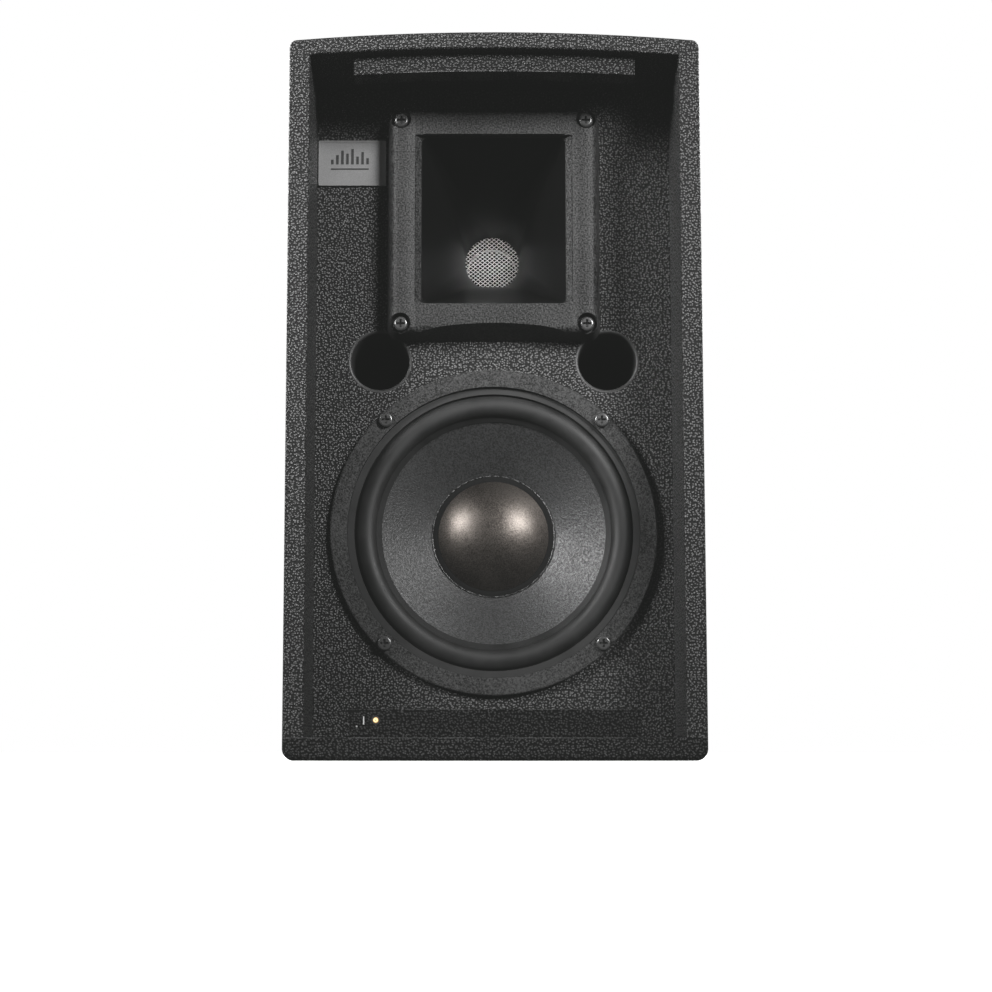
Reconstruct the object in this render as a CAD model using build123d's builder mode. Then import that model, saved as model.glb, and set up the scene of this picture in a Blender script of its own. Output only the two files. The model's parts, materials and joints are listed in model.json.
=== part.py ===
"""Compact two-way stage loudspeaker with a built-in amplifier, as separate pieces.

Millimetres.  +X is right, +Y runs to the back and +Z is up.  The origin is the middle of the
underside, where the pole socket opens.  The front faces -Y and its edge is bowed forward.
"""

import math
import os

from build123d import *

# cabinet
width = 250
height = 438
corner_y = -114
bow = 12
back_y = 126
side_wall = 13
top_wall = 11
bottom_wall = 13.5
back_wall = 18
bottom_edge_radius = 7
top_edge_radius = 4.5
front_edge_radius = 3.5
front_lip_radius = 1

apex_y = corner_y - bow
bow_radius = ((width / 2) ** 2 + bow**2) / (2 * bow)
bow_centre_y = apex_y + bow_radius
inside_x = width / 2 - side_wall
floor_z = bottom_wall
ceiling_z = height - top_wall
back_inside_y = back_y - back_wall

# baffle, the board that carries the drivers
baffle_y = -62
baffle_thickness = 15
baffle_back_y = baffle_y + baffle_thickness
batten_size = 12
foam_thickness = 15

# rails that hold the front grille
rail_setback = 7
rail_depth = 14
rail_half_length = 85.5
top_rail_height = 11.6
bottom_rail_height = 16.5

# status light in the bottom rail
led_x = -69.8
led_z = 23.6
led_radius = 1.75
led_bezel_radius = 2.6

# badge
badge_left = -111.3
badge_right = -68.4
badge_bottom = 363.5
badge_top = 393
badge_thickness = 1.6

# woofer
woofer_z = 141.5
frame_radius = 102
frame_opening_radius = 91.2
frame_front_y = -67
basket_radius = 92.5
woofer_screw_circle = 97
woofer_screw_angle = 46
coil_neck_radius = 25.2
cone_radius = 72.8
cone_front_y = -59.8
cone_neck_y = -32.9
cone_thickness = 1.1
cap_radius = 35.2
cap_rise = 12
magnet_radius = 50

# reflex ports
port_x = 71.5
port_z = 250
port_radius = 18
port_wall = 2
port_length = 100

# horn
horn_z = 336.8
horn_flange_width = 134
horn_flange_bottom = 262.6
horn_flange_draft = 7
horn_flange_top = 408.6
horn_corner_radius = 7.5
horn_front_y = -80
horn_gasket_thickness = 1
mouth_half_width = 46
mouth_half_height = 54.4
mouth_bevel_width = 3.3
mouth_bevel_depth = 3.6
throat_y = 18
throat_radius = 18.25
horn_wall = 3
horn_screw_x = 58
horn_screw_bottom = 270.4
horn_screw_top = 401.1

# compression driver behind the horn
driver_radius = 43
driver_bolt_circle = 36

# pole socket
pole_bore_radius = 19.3
pole_bore_depth = 70
cup_wall = 2.7
cup_flange_radius = 47.5
cup_flange_thickness = 3
cup_screw_circle = 38

# threaded inserts for a yoke, one in each side
insert_z = 230
insert_radius = 6
insert_length = 12
insert_bore_radius = 3.4

# amplifier plate, let into the back
plate_half_width = 86
plate_bottom = 46
plate_top = 276
plate_thickness = 3
plate_y = 117
ledge = 12
plate_screw_x = 80
plate_screw_inset = 6
plate_screw_radius = 2

# sockets and controls on the plate
socket_z = 245
input_x = -52
link_x = -8
knob_x = 44
socket_flange_width = 26
socket_flange_height = 31
socket_flange_thickness = 2
socket_body_radius = 11.8
latch_half_width = 4.2
latch_bottom = 10.3
latch_top = 13.6
latch_gap = 0.4
mains_z = 88
inlet_x = -44
switch_x = 44
rocker_tilt = 6
sink_bottom = 116
sink_top = 216
sink_half_width = 68
board_y = 96

os.makedirs("parts", exist_ok=True)


def facing_front(y):
    """Plane across the speaker at depth y.  Its x is +X, its y is +Z, its normal is -Y."""
    return Plane(origin=(0, y, 0), x_dir=(1, 0, 0), z_dir=(0, -1, 0))


def radial_plane(axis_z, angle=0):
    """Plane through the Y-direction line at height axis_z.  Its x is radius, its y is +Y."""
    across = math.sin(math.radians(angle))
    upward = math.cos(math.radians(angle))
    return Plane(origin=(0, 0, axis_z), x_dir=(across, 0, upward), z_dir=(-upward, 0, across))


def turned(axis_z, outline):
    """Solid turned about the Y-direction line at height axis_z, from (radius, y) points."""
    with BuildPart() as body:
        with BuildSketch(radial_plane(axis_z)):
            with BuildLine():
                Polyline(*outline, close=True)
            make_face()
        revolve(axis=Axis((0, 0, axis_z), (0, 1, 0)))
    return body


def dome_y(apex, sphere_radius, radius, facing):
    """Depth of a spherical dome at a radius; facing is -1 for a dome that points to the front."""
    return apex - facing * (sphere_radius - math.sqrt(sphere_radius**2 - radius**2))


def ring(axis_z, inner, outer, front, back):
    """Flat ring about the Y-direction line at height axis_z."""
    return turned(axis_z, [(inner, front), (outer, front), (outer, back), (inner, back)])


def screw_set(plane, positions, head_radius, head_height, shank_radius, shank_length):
    """Pan-head screws seated on a plane, heads along its normal, with cross recesses."""
    with BuildPart() as screws:
        with BuildSketch(plane):
            with Locations(*positions):
                Circle(head_radius)
        extrude(amount=head_height)
        head_rims = screws.edges().group_by(Axis(plane.origin, plane.z_dir))[-1]
        fillet(head_rims, head_height * 0.45)
        with BuildSketch(plane):
            with Locations(*positions):
                Circle(shank_radius)
        extrude(amount=-shank_length)
        with BuildSketch(plane.offset(head_height * 0.4)):
            with Locations(*positions):
                Rectangle(head_radius * 1.1, head_radius * 0.28)
                Rectangle(head_radius * 0.28, head_radius * 1.1)
        extrude(amount=head_height, mode=Mode.SUBTRACT)
    return screws


def keep(piece, name):
    """Label a finished piece and write it under its node name."""
    piece.part.label = name
    export_step(piece.part, f"parts/{name}.step")


def circle_positions(radius, angles, centre=(0, 0)):
    """Points on a circle, angles in degrees from the sketch's x."""
    return [
        (
            centre[0] + radius * math.cos(math.radians(angle)),
            centre[1] + radius * math.sin(math.radians(angle)),
        )
        for angle in angles
    ]


woofer_screws_at = circle_positions(
    woofer_screw_circle,
    [sign + side for sign in (0, 180) for side in (woofer_screw_angle, -woofer_screw_angle)],
    (0, woofer_z),
)
horn_screws_at = [
    (x, z) for x in (-horn_screw_x, horn_screw_x) for z in (horn_screw_bottom, horn_screw_top)
]
driver_bolts_at = circle_positions(driver_bolt_circle, (0, 90, 180, 270), (0, horn_z))
plate_middle_z = (plate_bottom + plate_top) / 2
plate_screws_at = [
    (x, z)
    for x in (-plate_screw_x, plate_screw_x)
    for z in (plate_bottom + plate_screw_inset, plate_middle_z, plate_top - plate_screw_inset)
] + [(0, plate_bottom + plate_screw_inset), (0, plate_top - plate_screw_inset)]
cup_screws_at = circle_positions(cup_screw_circle, (45, 135, 225, 315))
woofer_screw_shank = 2.3
horn_screw_shank = 2.1
driver_bolt_shank = 2.5
cup_screw_shank = 2


# ---------------------------------------------------------------- cabinet panels

with BuildPart() as shell:
    with BuildSketch():
        with BuildLine():
            ThreePointArc((-width / 2, corner_y), (0, apex_y), (width / 2, corner_y))
            Polyline(
                (width / 2, corner_y),
                (width / 2, back_y),
                (-width / 2, back_y),
                (-width / 2, corner_y),
            )
        make_face()
    extrude(amount=height)
    fillet(shell.edges().filter_by(Axis.Y).group_by(Axis.Z)[0], bottom_edge_radius)
    fillet(shell.edges().filter_by(Axis.Y).group_by(Axis.Z)[-1], top_edge_radius)
    fillet(shell.faces().sort_by(Axis.Y)[0].edges(), front_edge_radius)
    fillet(shell.faces().sort_by(Axis.Y)[-1].edges(), front_edge_radius)
    with BuildSketch(Plane.XY.offset(floor_z)):
        with Locations((0, (back_inside_y + apex_y * 2) / 2)):
            Rectangle(2 * inside_x, back_inside_y - apex_y * 2)
    extrude(amount=ceiling_z - floor_z, mode=Mode.SUBTRACT)
    fillet(shell.faces().sort_by(Axis.Y)[0].inner_wires()[0].edges(), front_lip_radius)


def panel(x_from, x_to, y_from, y_to, z_from, z_to):
    """The part of the cabinet shell that lies within a box."""
    with BuildPart() as piece:
        add(shell.part)
        with BuildSketch(Plane.XY.offset(z_from)):
            with Locations(((x_from + x_to) / 2, (y_from + y_to) / 2)):
                Rectangle(x_to - x_from, y_to - y_from)
        extrude(amount=z_to - z_from, mode=Mode.INTERSECT)
    return piece


keep(panel(-width, width, -width, width, ceiling_z, height + 1), "top_panel")

with BuildPart() as bottom_panel:
    add(panel(-width, width, -width, width, -1, floor_z).part)
    with BuildSketch():
        Circle(cup_flange_radius)
    extrude(amount=cup_flange_thickness, mode=Mode.SUBTRACT)
    with BuildSketch():
        Circle(pole_bore_radius + cup_wall)
        with Locations(*cup_screws_at):
            Circle(cup_screw_shank)
    extrude(amount=floor_z, mode=Mode.SUBTRACT)
keep(bottom_panel, "bottom_panel")

for side_name, side in (("left", -1), ("right", 1)):
    outer_x = side * width
    inner_x = side * inside_x
    with BuildPart() as side_panel:
        add(
            panel(
                min(outer_x, inner_x), max(outer_x, inner_x), -width, width, floor_z, ceiling_z
            ).part
        )
        with BuildSketch(Plane.YZ.offset(side * width / 2)):
            with Locations((0, insert_z)):
                Circle(insert_radius)
        extrude(amount=-side * insert_length, mode=Mode.SUBTRACT)
    keep(side_panel, f"{side_name}_side_panel")

with BuildPart() as yoke_inserts:
    for side in (-1, 1):
        with BuildSketch(Plane.YZ.offset(side * width / 2)):
            with Locations((0, insert_z)):
                Circle(insert_radius)
        extrude(amount=-side * insert_length)
        with BuildSketch(Plane.YZ.offset(side * width / 2)):
            with Locations((0, insert_z)):
                Circle(insert_bore_radius)
        extrude(amount=-side * (insert_length - 1), mode=Mode.SUBTRACT)
keep(yoke_inserts, "yoke_inserts")

with BuildPart() as back_panel:
    add(panel(-inside_x, inside_x, back_inside_y, width, floor_z, ceiling_z).part)
    with BuildSketch(facing_front(back_y)):
        with Locations((0, plate_middle_z)):
            Rectangle(2 * plate_half_width, plate_top - plate_bottom)
    extrude(amount=back_y - plate_y + plate_thickness, mode=Mode.SUBTRACT)
    with BuildSketch(facing_front(back_y)):
        with Locations((0, plate_middle_z)):
            Rectangle(2 * (plate_half_width - ledge), plate_top - plate_bottom - 2 * ledge)
        with Locations(*plate_screws_at):
            Circle(plate_screw_radius)
    extrude(amount=back_wall, mode=Mode.SUBTRACT)
keep(back_panel, "back_panel")

with BuildPart() as front_baffle:
    with BuildSketch(facing_front(baffle_back_y)):
        with Locations((0, (floor_z + ceiling_z) / 2)):
            Rectangle(2 * inside_x, ceiling_z - floor_z)
        with Locations((0, woofer_z)):
            Circle(basket_radius, mode=Mode.SUBTRACT)
        with Locations((-port_x, port_z), (port_x, port_z)):
            Circle(port_radius + port_wall, mode=Mode.SUBTRACT)
        with Locations((0, horn_z)):
            RectangleRounded(
                2 * (mouth_half_width + horn_wall + 2),
                2 * (mouth_half_height + horn_wall + 1),
                4,
                mode=Mode.SUBTRACT,
            )
        with Locations(*woofer_screws_at):
            Circle(woofer_screw_shank, mode=Mode.SUBTRACT)
        with Locations(*horn_screws_at):
            Circle(horn_screw_shank, mode=Mode.SUBTRACT)
    extrude(amount=baffle_thickness)
keep(front_baffle, "front_baffle")

with BuildPart() as baffle_battens:
    for side in (-1, 1):
        with BuildSketch(Plane.XY.offset(floor_z)):
            with Locations((side * (inside_x - batten_size / 2), baffle_back_y + batten_size / 2)):
                Rectangle(batten_size, batten_size)
        extrude(amount=ceiling_z - floor_z)
keep(baffle_battens, "baffle_battens")

foam_front_y = baffle_back_y + batten_size + 2
foam_back_y = back_inside_y - 2
with BuildPart() as side_foam_liners:
    for side in (-1, 1):
        with BuildSketch(Plane.XY.offset(floor_z + 3)):
            with Locations((side * (inside_x - foam_thickness / 2), (foam_front_y + foam_back_y) / 2)):
                Rectangle(foam_thickness, foam_back_y - foam_front_y)
        extrude(amount=ceiling_z - floor_z - 6)
keep(side_foam_liners, "side_foam_liners")


# ---------------------------------------------------------------- grille rails, light and badge


def grille_rail(bottom, rail_height):
    """Curved strip that follows the bowed front edge, just behind it."""
    with BuildPart() as rail:
        with BuildSketch(Plane.XY.offset(bottom)):
            with Locations((0, bow_centre_y)):
                Circle(bow_radius - rail_setback)
                Circle(bow_radius - rail_setback - rail_depth, mode=Mode.SUBTRACT)
            with Locations((0, corner_y)):
                Rectangle(2 * rail_half_length, 4 * rail_depth, mode=Mode.INTERSECT)
        extrude(amount=rail_height)
    return rail


keep(grille_rail(ceiling_z - top_rail_height, top_rail_height), "top_grille_rail")

led_face_y = bow_centre_y - math.sqrt((bow_radius - rail_setback) ** 2 - led_x**2)
with BuildPart() as bottom_grille_rail:
    add(grille_rail(floor_z, bottom_rail_height).part)
    with BuildSketch(facing_front(corner_y + 2 * rail_depth)):
        with Locations((led_x, led_z)):
            Circle(led_bezel_radius)
    extrude(amount=4 * rail_depth, mode=Mode.SUBTRACT)
keep(bottom_grille_rail, "bottom_grille_rail")

with BuildPart() as led_bezel:
    with BuildSketch(facing_front(led_face_y + rail_depth - 2)):
        with Locations((led_x, led_z)):
            Circle(led_bezel_radius)
            Circle(led_radius, mode=Mode.SUBTRACT)
    extrude(amount=rail_depth - 1.4)
keep(led_bezel, "led_bezel")

with BuildPart() as status_led:
    with BuildSketch(facing_front(led_face_y + rail_depth - 2)):
        with Locations((led_x, led_z)):
            Circle(led_radius)
    extrude(amount=rail_depth - 1)
    fillet(status_led.edges().group_by(Axis.Y)[0], led_radius * 0.6)
keep(status_led, "status_led")

with BuildPart() as badge_plate:
    with BuildSketch(facing_front(baffle_y)):
        with Locations(((badge_left + badge_right) / 2, (badge_bottom + badge_top) / 2)):
            RectangleRounded(badge_right - badge_left, badge_top - badge_bottom, 1)
    extrude(amount=badge_thickness)
    with BuildSketch(facing_front(baffle_y - badge_thickness)):
        with Locations(((badge_left + badge_right) / 2 - 0.4, (badge_bottom + badge_top) / 2 + 0.6)):
            Rectangle(badge_right - badge_left - 2.4, badge_top - badge_bottom - 3)
    extrude(amount=-0.4, mode=Mode.SUBTRACT)
keep(badge_plate, "badge_plate")


# ---------------------------------------------------------------- pole socket

with BuildPart() as pole_socket:
    with BuildSketch():
        Circle(cup_flange_radius)
    extrude(amount=cup_flange_thickness)
    with BuildSketch():
        Circle(pole_bore_radius + cup_wall)
    extrude(amount=pole_bore_depth + cup_wall)
    fillet(pole_socket.edges().group_by(Axis.Z)[-1], cup_wall)
    with BuildSketch():
        Circle(pole_bore_radius)
    extrude(amount=pole_bore_depth, mode=Mode.SUBTRACT)
    with BuildSketch():
        with Locations(*cup_screws_at):
            Circle(cup_screw_shank)
    extrude(amount=cup_flange_thickness, mode=Mode.SUBTRACT)
    with BuildSketch():
        with Locations(*cup_screws_at):
            Circle(4.2)
    extrude(amount=2, mode=Mode.SUBTRACT)
keep(pole_socket, "pole_socket")

cup_screw_seat = Plane(origin=(0, 0, 2), x_dir=(1, 0, 0), z_dir=(0, 0, -1))
keep(screw_set(cup_screw_seat, cup_screws_at, 4, 1.9, cup_screw_shank, 11), "pole_socket_screws")


# ---------------------------------------------------------------- woofer

spider_y = -22
plate_front_y = -8
top_plate_back_y = 0
magnet_back_y = 18
yoke_back_y = 26

with BuildPart() as woofer_basket:
    add(
        turned(
            woofer_z,
            [
                (frame_opening_radius, frame_front_y),
                (frame_radius, frame_front_y),
                (frame_radius, baffle_y),
                (basket_radius, baffle_y),
                (basket_radius, -50),
                (57, -24),
                (57, plate_front_y),
                (29, plate_front_y),
                (29, -12),
                (46, -12),
                (46, spider_y),
                (54, spider_y),
                (54, -25.5),
                (89.5, -50),
                (89.5, -58.5),
                (84, -58.5),
                (84, -61.5),
                (frame_opening_radius, -61.5),
            ],
        ).part
    )
    front_edges = woofer_basket.edges().filter_by(GeomType.CIRCLE).group_by(Axis.Y)[0]
    fillet(front_edges.sort_by(SortBy.RADIUS)[-1], 1.2)
    for window_angle in range(0, 360, 60):
        with BuildSketch(radial_plane(woofer_z, window_angle)):
            with Locations((75, -36)):
                Rectangle(22, 32)
        revolve(
            axis=Axis((0, 0, woofer_z), (0, 1, 0)), revolution_arc=42, mode=Mode.SUBTRACT
        )
    with BuildSketch(facing_front(baffle_y)):
        with Locations(*woofer_screws_at):
            Circle(woofer_screw_shank)
    extrude(amount=2 * (baffle_y - frame_front_y), mode=Mode.SUBTRACT)
keep(woofer_basket, "woofer_basket")

keep(ring(woofer_z, 86.8, 91, -64.5, -62.1), "woofer_gasket")

with BuildPart() as woofer_surround:
    with BuildSketch(radial_plane(woofer_z)):
        with BuildLine():
            Line((69.9, cone_front_y), (69.9, -60.4))
            Line((69.9, -60.4), (73.2, -60.4))
            ThreePointArc((73.2, -60.4), (79.6, -66.6), (86, -62.1))
            Polyline((86, -62.1), (91, -62.1), (91, -61.5), (85.4, -61.5))
            ThreePointArc((85.4, -61.5), (79.6, -65.9), (73.9, cone_front_y))
            Line((73.9, cone_front_y), (69.9, cone_front_y))
        make_face()
    revolve(axis=Axis((0, 0, woofer_z), (0, 1, 0)))
keep(woofer_surround, "woofer_surround")

keep(
    turned(
        woofer_z,
        [
            (coil_neck_radius, cone_neck_y),
            (69.9, cone_front_y),
            (cone_radius, cone_front_y),
            (cone_radius, cone_front_y + 0.9),
            (70.1, cone_front_y + 0.9),
            (coil_neck_radius, cone_neck_y + cone_thickness),
        ],
    ),
    "woofer_cone",
)

cone_slope = (cone_neck_y - cone_front_y) / (69.9 - coil_neck_radius)


def cone_face(radius):
    """Depth of the cone's front face at a radius."""
    return cone_neck_y - (radius - coil_neck_radius) * cone_slope


cap_thickness = 0.8
cap_flange_radius = 38.8
cap_edge_y = cone_face(cap_flange_radius) - cap_thickness
cap_apex_y = cap_edge_y - cap_rise
cap_sphere = (cap_radius**2 + cap_rise**2) / (2 * cap_rise)
cap_inner_sphere = cap_sphere - cap_thickness
cap_inner_apex_y = cap_apex_y + cap_thickness
cap_inner_radius = cap_radius - 1
cap_inner_edge_y = dome_y(cap_inner_apex_y, cap_inner_sphere, cap_inner_radius, -1)

with BuildPart() as dust_cap:
    with BuildSketch(radial_plane(woofer_z)):
        with BuildLine():
            ThreePointArc(
                (0, cap_apex_y), (18, dome_y(cap_apex_y, cap_sphere, 18, -1)), (cap_radius, cap_edge_y)
            )
            Polyline(
                (cap_radius, cap_edge_y),
                (cap_flange_radius, cap_edge_y),
                (cap_flange_radius, cone_face(cap_flange_radius)),
                (cap_inner_radius, cone_face(cap_inner_radius)),
                (cap_inner_radius, cap_inner_edge_y),
            )
            ThreePointArc(
                (cap_inner_radius, cap_inner_edge_y),
                (18, dome_y(cap_inner_apex_y, cap_inner_sphere, 18, -1)),
                (0, cap_inner_apex_y),
            )
            Line((0, cap_inner_apex_y), (0, cap_apex_y))
        make_face()
    revolve(axis=Axis((0, 0, woofer_z), (0, 1, 0)))
keep(dust_cap, "dust_cap")

keep(ring(woofer_z, 24.9, coil_neck_radius, -33, 3), "voice_coil_former")
keep(ring(woofer_z, coil_neck_radius, 26.3, -11, 3), "voice_coil_winding")

spider_rolls = 6
spider_pitch = 3.4
spider_front = [(coil_neck_radius, -23.2)]
spider_rear = [(coil_neck_radius, -22.6)]
for roll in range(spider_rolls):
    rise = 1.1 if roll % 2 else -1.1
    crest = 28 + roll * spider_pitch
    spider_front.append((crest, -23.4 + rise - 0.6))
    spider_rear.append((crest, -23.4 + rise))
spider_outline = spider_front + [(48, spider_y - 0.6), (53.6, spider_y - 0.6)]
spider_outline += [(53.6, spider_y), (48, spider_y)] + spider_rear[::-1]
keep(turned(woofer_z, spider_outline), "woofer_spider")

keep(ring(woofer_z, 26.8, magnet_radius, plate_front_y, top_plate_back_y), "woofer_top_plate")
keep(ring(woofer_z, 32, magnet_radius - 2, top_plate_back_y, magnet_back_y), "woofer_magnet")
keep(
    turned(
        woofer_z,
        [
            (6, plate_front_y),
            (24.3, plate_front_y),
            (24.3, magnet_back_y),
            (magnet_radius, magnet_back_y),
            (magnet_radius, yoke_back_y),
            (6, yoke_back_y),
        ],
    ),
    "woofer_yoke",
)

with BuildPart() as woofer_terminals:
    with BuildSketch(Plane.YZ.offset(57)):
        with Locations((-16, woofer_z)):
            Rectangle(9, 24)
    extrude(amount=2.5)
    with BuildSketch(Plane.YZ.offset(59.5)):
        with Locations((-16, woofer_z - 7), (-16, woofer_z + 7)):
            Rectangle(5, 0.8)
    extrude(amount=9)
keep(woofer_terminals, "woofer_terminals")

keep(
    screw_set(
        facing_front(frame_front_y),
        woofer_screws_at,
        4.6,
        3.2,
        woofer_screw_shank,
        baffle_back_y - frame_front_y - 1,
    ),
    "woofer_screws",
)


# ---------------------------------------------------------------- ports

for port_name, side in (("left", -1), ("right", 1)):
    with BuildPart() as port_tube:
        with BuildSketch(facing_front(baffle_y)):
            with Locations((side * port_x, port_z)):
                Circle(port_radius + port_wall)
                Circle(port_radius, mode=Mode.SUBTRACT)
        extrude(amount=-port_length)
        mouth_edges = port_tube.edges().filter_by(GeomType.CIRCLE).group_by(Axis.Y)[0]
        fillet(mouth_edges.sort_by(SortBy.RADIUS)[0], port_wall - 0.4)
    keep(port_tube, f"{port_name}_port_tube")


# ---------------------------------------------------------------- horn

horn_flange_height = horn_flange_top - horn_flange_bottom
horn_flange_z = (horn_flange_top + horn_flange_bottom) / 2
horn_base_y = baffle_y - horn_gasket_thickness
flare = [
    # depth, half width, half height, corner radius
    (horn_front_y, mouth_half_width, mouth_half_height, 3),
    (-48, 35, 41, 6),
    (-12, 23, 25, 11),
    (throat_y, throat_radius, throat_radius, throat_radius - 0.05),
]
horn_flange_depth = 6

with BuildPart() as horn_flare:
    for y, half_width, half_height, corner in flare:
        with BuildSketch(facing_front(y)):
            with Locations((0, horn_z)):
                RectangleRounded(
                    2 * (half_width + horn_wall), 2 * (half_height + horn_wall), corner + horn_wall
                )
    loft()
    with BuildSketch(facing_front(horn_base_y)):
        with Locations((0, horn_flange_z)):
            RectangleRounded(horn_flange_width, horn_flange_height, horn_corner_radius)
    extrude(amount=horn_base_y - horn_front_y, taper=horn_flange_draft)
    fillet(horn_flare.faces().sort_by(Axis.Y)[0].outer_wire().edges(), 4.5)
    with BuildSketch(facing_front(throat_y)):
        with Locations((0, horn_z)):
            Circle(driver_radius - 1)
    extrude(amount=horn_flange_depth)
    for y, rise in ((horn_front_y, 7.5), (horn_base_y, 0.2)):
        with BuildSketch(facing_front(y)):
            with BuildLine():
                Bezier(
                    (-50, horn_flange_bottom),
                    (-36, horn_flange_bottom + rise * 4 / 3),
                    (36, horn_flange_bottom + rise * 4 / 3),
                    (50, horn_flange_bottom),
                )
                Polyline(
                    (50, horn_flange_bottom),
                    (50, horn_flange_bottom - 4),
                    (-50, horn_flange_bottom - 4),
                    (-50, horn_flange_bottom),
                )
            make_face()
    loft(mode=Mode.SUBTRACT)
    for y, drop in ((horn_front_y, 3.3), (horn_base_y, 0.2)):
        with BuildSketch(facing_front(y)):
            with BuildLine():
                Polyline(
                    (-50, horn_flange_top),
                    (-46, horn_flange_top - drop),
                    (46, horn_flange_top - drop),
                    (50, horn_flange_top),
                    (50, horn_flange_top + 4),
                    (-50, horn_flange_top + 4),
                    close=True,
                )
            make_face()
    loft(mode=Mode.SUBTRACT)
    for y, half_width, half_height, corner in flare:
        with BuildSketch(facing_front(y)):
            with Locations((0, horn_z)):
                RectangleRounded(2 * half_width, 2 * half_height, corner)
    loft(mode=Mode.SUBTRACT)
    for y, widening in ((horn_front_y, mouth_bevel_width), (horn_front_y + mouth_bevel_depth, -1)):
        with BuildSketch(facing_front(y)):
            with Locations((0, horn_z)):
                Rectangle(2 * (mouth_half_width + widening), 2 * (mouth_half_height - 0.6))
    loft(mode=Mode.SUBTRACT)
    with BuildSketch(facing_front(horn_front_y + 6)):
        with Locations(*horn_screws_at):
            Circle(6.25)
    extrude(amount=8, mode=Mode.SUBTRACT)
    with BuildSketch(facing_front(baffle_y)):
        with Locations(*horn_screws_at):
            Circle(horn_screw_shank)
    extrude(amount=20, mode=Mode.SUBTRACT)
    with BuildSketch(facing_front(throat_y)):
        with Locations(*driver_bolts_at):
            Circle(driver_bolt_shank)
    extrude(amount=horn_flange_depth, mode=Mode.SUBTRACT)
keep(horn_flare, "horn_flare")

with BuildPart() as horn_gasket:
    with BuildSketch(facing_front(baffle_y)):
        with Locations((0, horn_flange_z)):
            RectangleRounded(horn_flange_width - 3, horn_flange_height - 3, horn_corner_radius - 1.5)
        with Locations((0, horn_z)):
            RectangleRounded(
                2 * (mouth_half_width + horn_wall + 2),
                2 * (mouth_half_height + horn_wall + 1),
                4,
                mode=Mode.SUBTRACT,
            )
        with Locations(*horn_screws_at):
            Circle(horn_screw_shank, mode=Mode.SUBTRACT)
    extrude(amount=horn_gasket_thickness)
keep(horn_gasket, "horn_gasket")

keep(
    screw_set(
        facing_front(horn_front_y + 6),
        horn_screws_at,
        4.65,
        4,
        horn_screw_shank,
        baffle_back_y - horn_front_y - 7,
    ),
    "horn_screws",
)


# ---------------------------------------------------------------- compression driver

screen_thickness = 1.6
screen_radius = 19.8
driver_plate_y = throat_y + 6
gap_plate_y = 37
gap_plate_back_y = 43
cover_back_y = 68

keep(ring(horn_z, 0, screen_radius, throat_y, throat_y + screen_thickness), "throat_screen")

with BuildPart() as driver_front_plate:
    add(
        turned(
            horn_z,
            [
                (screen_radius, throat_y),
                (driver_radius, throat_y),
                (driver_radius, driver_plate_y),
                (22.3, driver_plate_y),
                (22.3, 42),
                (throat_radius, 42),
                (throat_radius, throat_y + screen_thickness),
                (screen_radius, throat_y + screen_thickness),
            ],
        ).part
    )
    with BuildSketch(facing_front(driver_plate_y)):
        with Locations(*driver_bolts_at):
            Circle(driver_bolt_shank)
    extrude(amount=6, mode=Mode.SUBTRACT)
keep(driver_front_plate, "driver_front_plate")

keep(ring(horn_z, 27, driver_radius - 1, driver_plate_y, gap_plate_y), "driver_magnet")
keep(ring(horn_z, 23.8, driver_radius - 1, gap_plate_y, gap_plate_back_y), "driver_gap_plate")

diaphragm_apex_y = 52.4
diaphragm_sphere = 40
diaphragm_radius = 22.6
foil = 0.4
plug_apex_y = 51
plug_sphere = 38.6
plug_radius = 16.5

with BuildPart() as phase_plug:
    with BuildSketch(radial_plane(horn_z)):
        with BuildLine():
            Line((0, 24), (0, plug_apex_y))
            ThreePointArc(
                (0, plug_apex_y),
                (9, dome_y(plug_apex_y, plug_sphere, 9, 1)),
                (plug_radius, dome_y(plug_apex_y, plug_sphere, plug_radius, 1)),
            )
            Polyline(
                (plug_radius, dome_y(plug_apex_y, plug_sphere, plug_radius, 1)),
                (plug_radius, 43),
                (13, 38),
            )
            ThreePointArc((13, 38), (9, 30), (0, 24))
        make_face()
    revolve(axis=Axis((0, 0, horn_z), (0, 1, 0)))
    add(ring(horn_z, 17.4, throat_radius, 33, 41.5).part)
    with BuildSketch(facing_front(41.5)):
        with Locations((0, horn_z)):
            with PolarLocations(0, 3):
                with Locations((9, 0)):
                    Rectangle(17.4, 1.6)
    extrude(amount=6)
keep(phase_plug, "phase_plug")

dome_edge_y = dome_y(diaphragm_apex_y, diaphragm_sphere, diaphragm_radius, 1)
dome_inner_edge_y = dome_y(diaphragm_apex_y - foil, diaphragm_sphere - foil, diaphragm_radius, 1)
with BuildPart() as driver_diaphragm:
    with BuildSketch(radial_plane(horn_z)):
        with BuildLine():
            Line((0, diaphragm_apex_y - foil), (0, diaphragm_apex_y))
            ThreePointArc(
                (0, diaphragm_apex_y),
                (12, dome_y(diaphragm_apex_y, diaphragm_sphere, 12, 1)),
                (diaphragm_radius, dome_edge_y),
            )
            Polyline(
                (diaphragm_radius, dome_edge_y),
                (30.6, dome_edge_y),
                (30.6, dome_edge_y - foil),
                (diaphragm_radius + 0.7, dome_edge_y - foil),
                (diaphragm_radius + 0.7, 38.5),
                (diaphragm_radius, 38.5),
                (diaphragm_radius, dome_inner_edge_y),
            )
            ThreePointArc(
                (diaphragm_radius, dome_inner_edge_y),
                (12, dome_y(diaphragm_apex_y - foil, diaphragm_sphere - foil, 12, 1)),
                (0, diaphragm_apex_y - foil),
            )
        make_face()
    revolve(axis=Axis((0, 0, horn_z), (0, 1, 0)))
keep(driver_diaphragm, "driver_diaphragm")

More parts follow.
